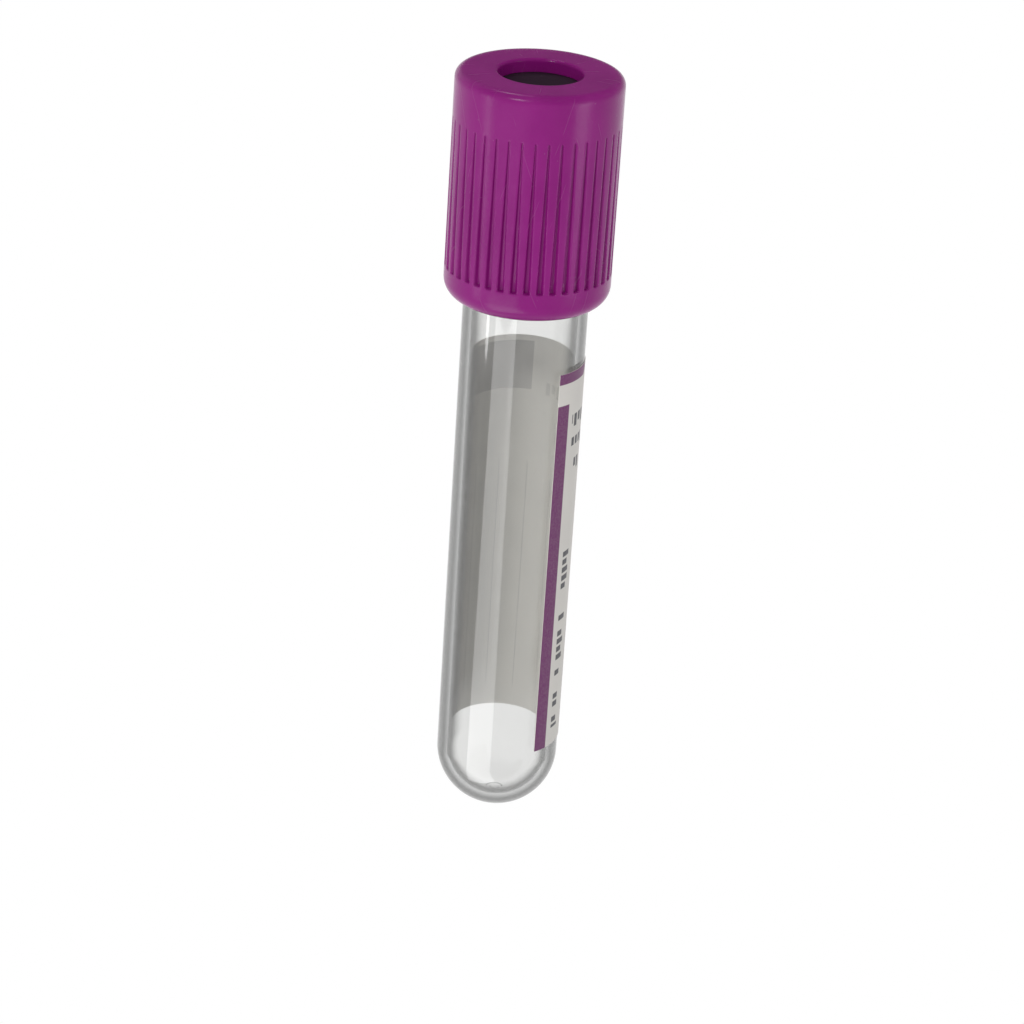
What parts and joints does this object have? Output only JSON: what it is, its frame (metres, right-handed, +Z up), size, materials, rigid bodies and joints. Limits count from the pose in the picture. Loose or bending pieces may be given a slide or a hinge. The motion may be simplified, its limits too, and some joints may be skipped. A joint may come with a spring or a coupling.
{
  "type": "blood collection tube",
  "caption": "Clear round-bottomed evacuated blood tube with a purple ribbed safety cap, a pierceable rubber stopper and a paper label.",
  "frame": {"origin": "on the floor at the tube's axis, in the plane of the cap's flat top, on which the tube stands upside down; the bottom centre of the bounding box", "axes": "+Z up along the tube's axis, from the cap to the round bottom; -Y is the front, where the tube is clear of its label; the label's printed edge is 38 degrees from the front towards -X"},
  "size_m": [0.017, 0.017, 0.0815],
  "materials": {
    "clear_plastic": "gloss",
    "stopper_rubber": "matte",
    "purple_plastic": "satin",
    "label_paper": "matte"
  },
  "bodies": {
    "shield": {"shield": "purple_plastic"},
    "stopper": {"stopper": "stopper_rubber"},
    "tube": {"tube": "clear_plastic", "label": "label_paper"}
  },
  "joints": [
    {"name": "closure_twist", "type": "hinge", "parent": "shield", "child": "stopper", "pos_m": [0, 0, 0.00085], "axis": [0, 0, 1], "continuous": true},
    {"name": "closure_pull", "type": "slide", "parent": "stopper", "child": "tube", "axis": [0, 0, 1], "range_m": [0, 0.022]}
  ]
}
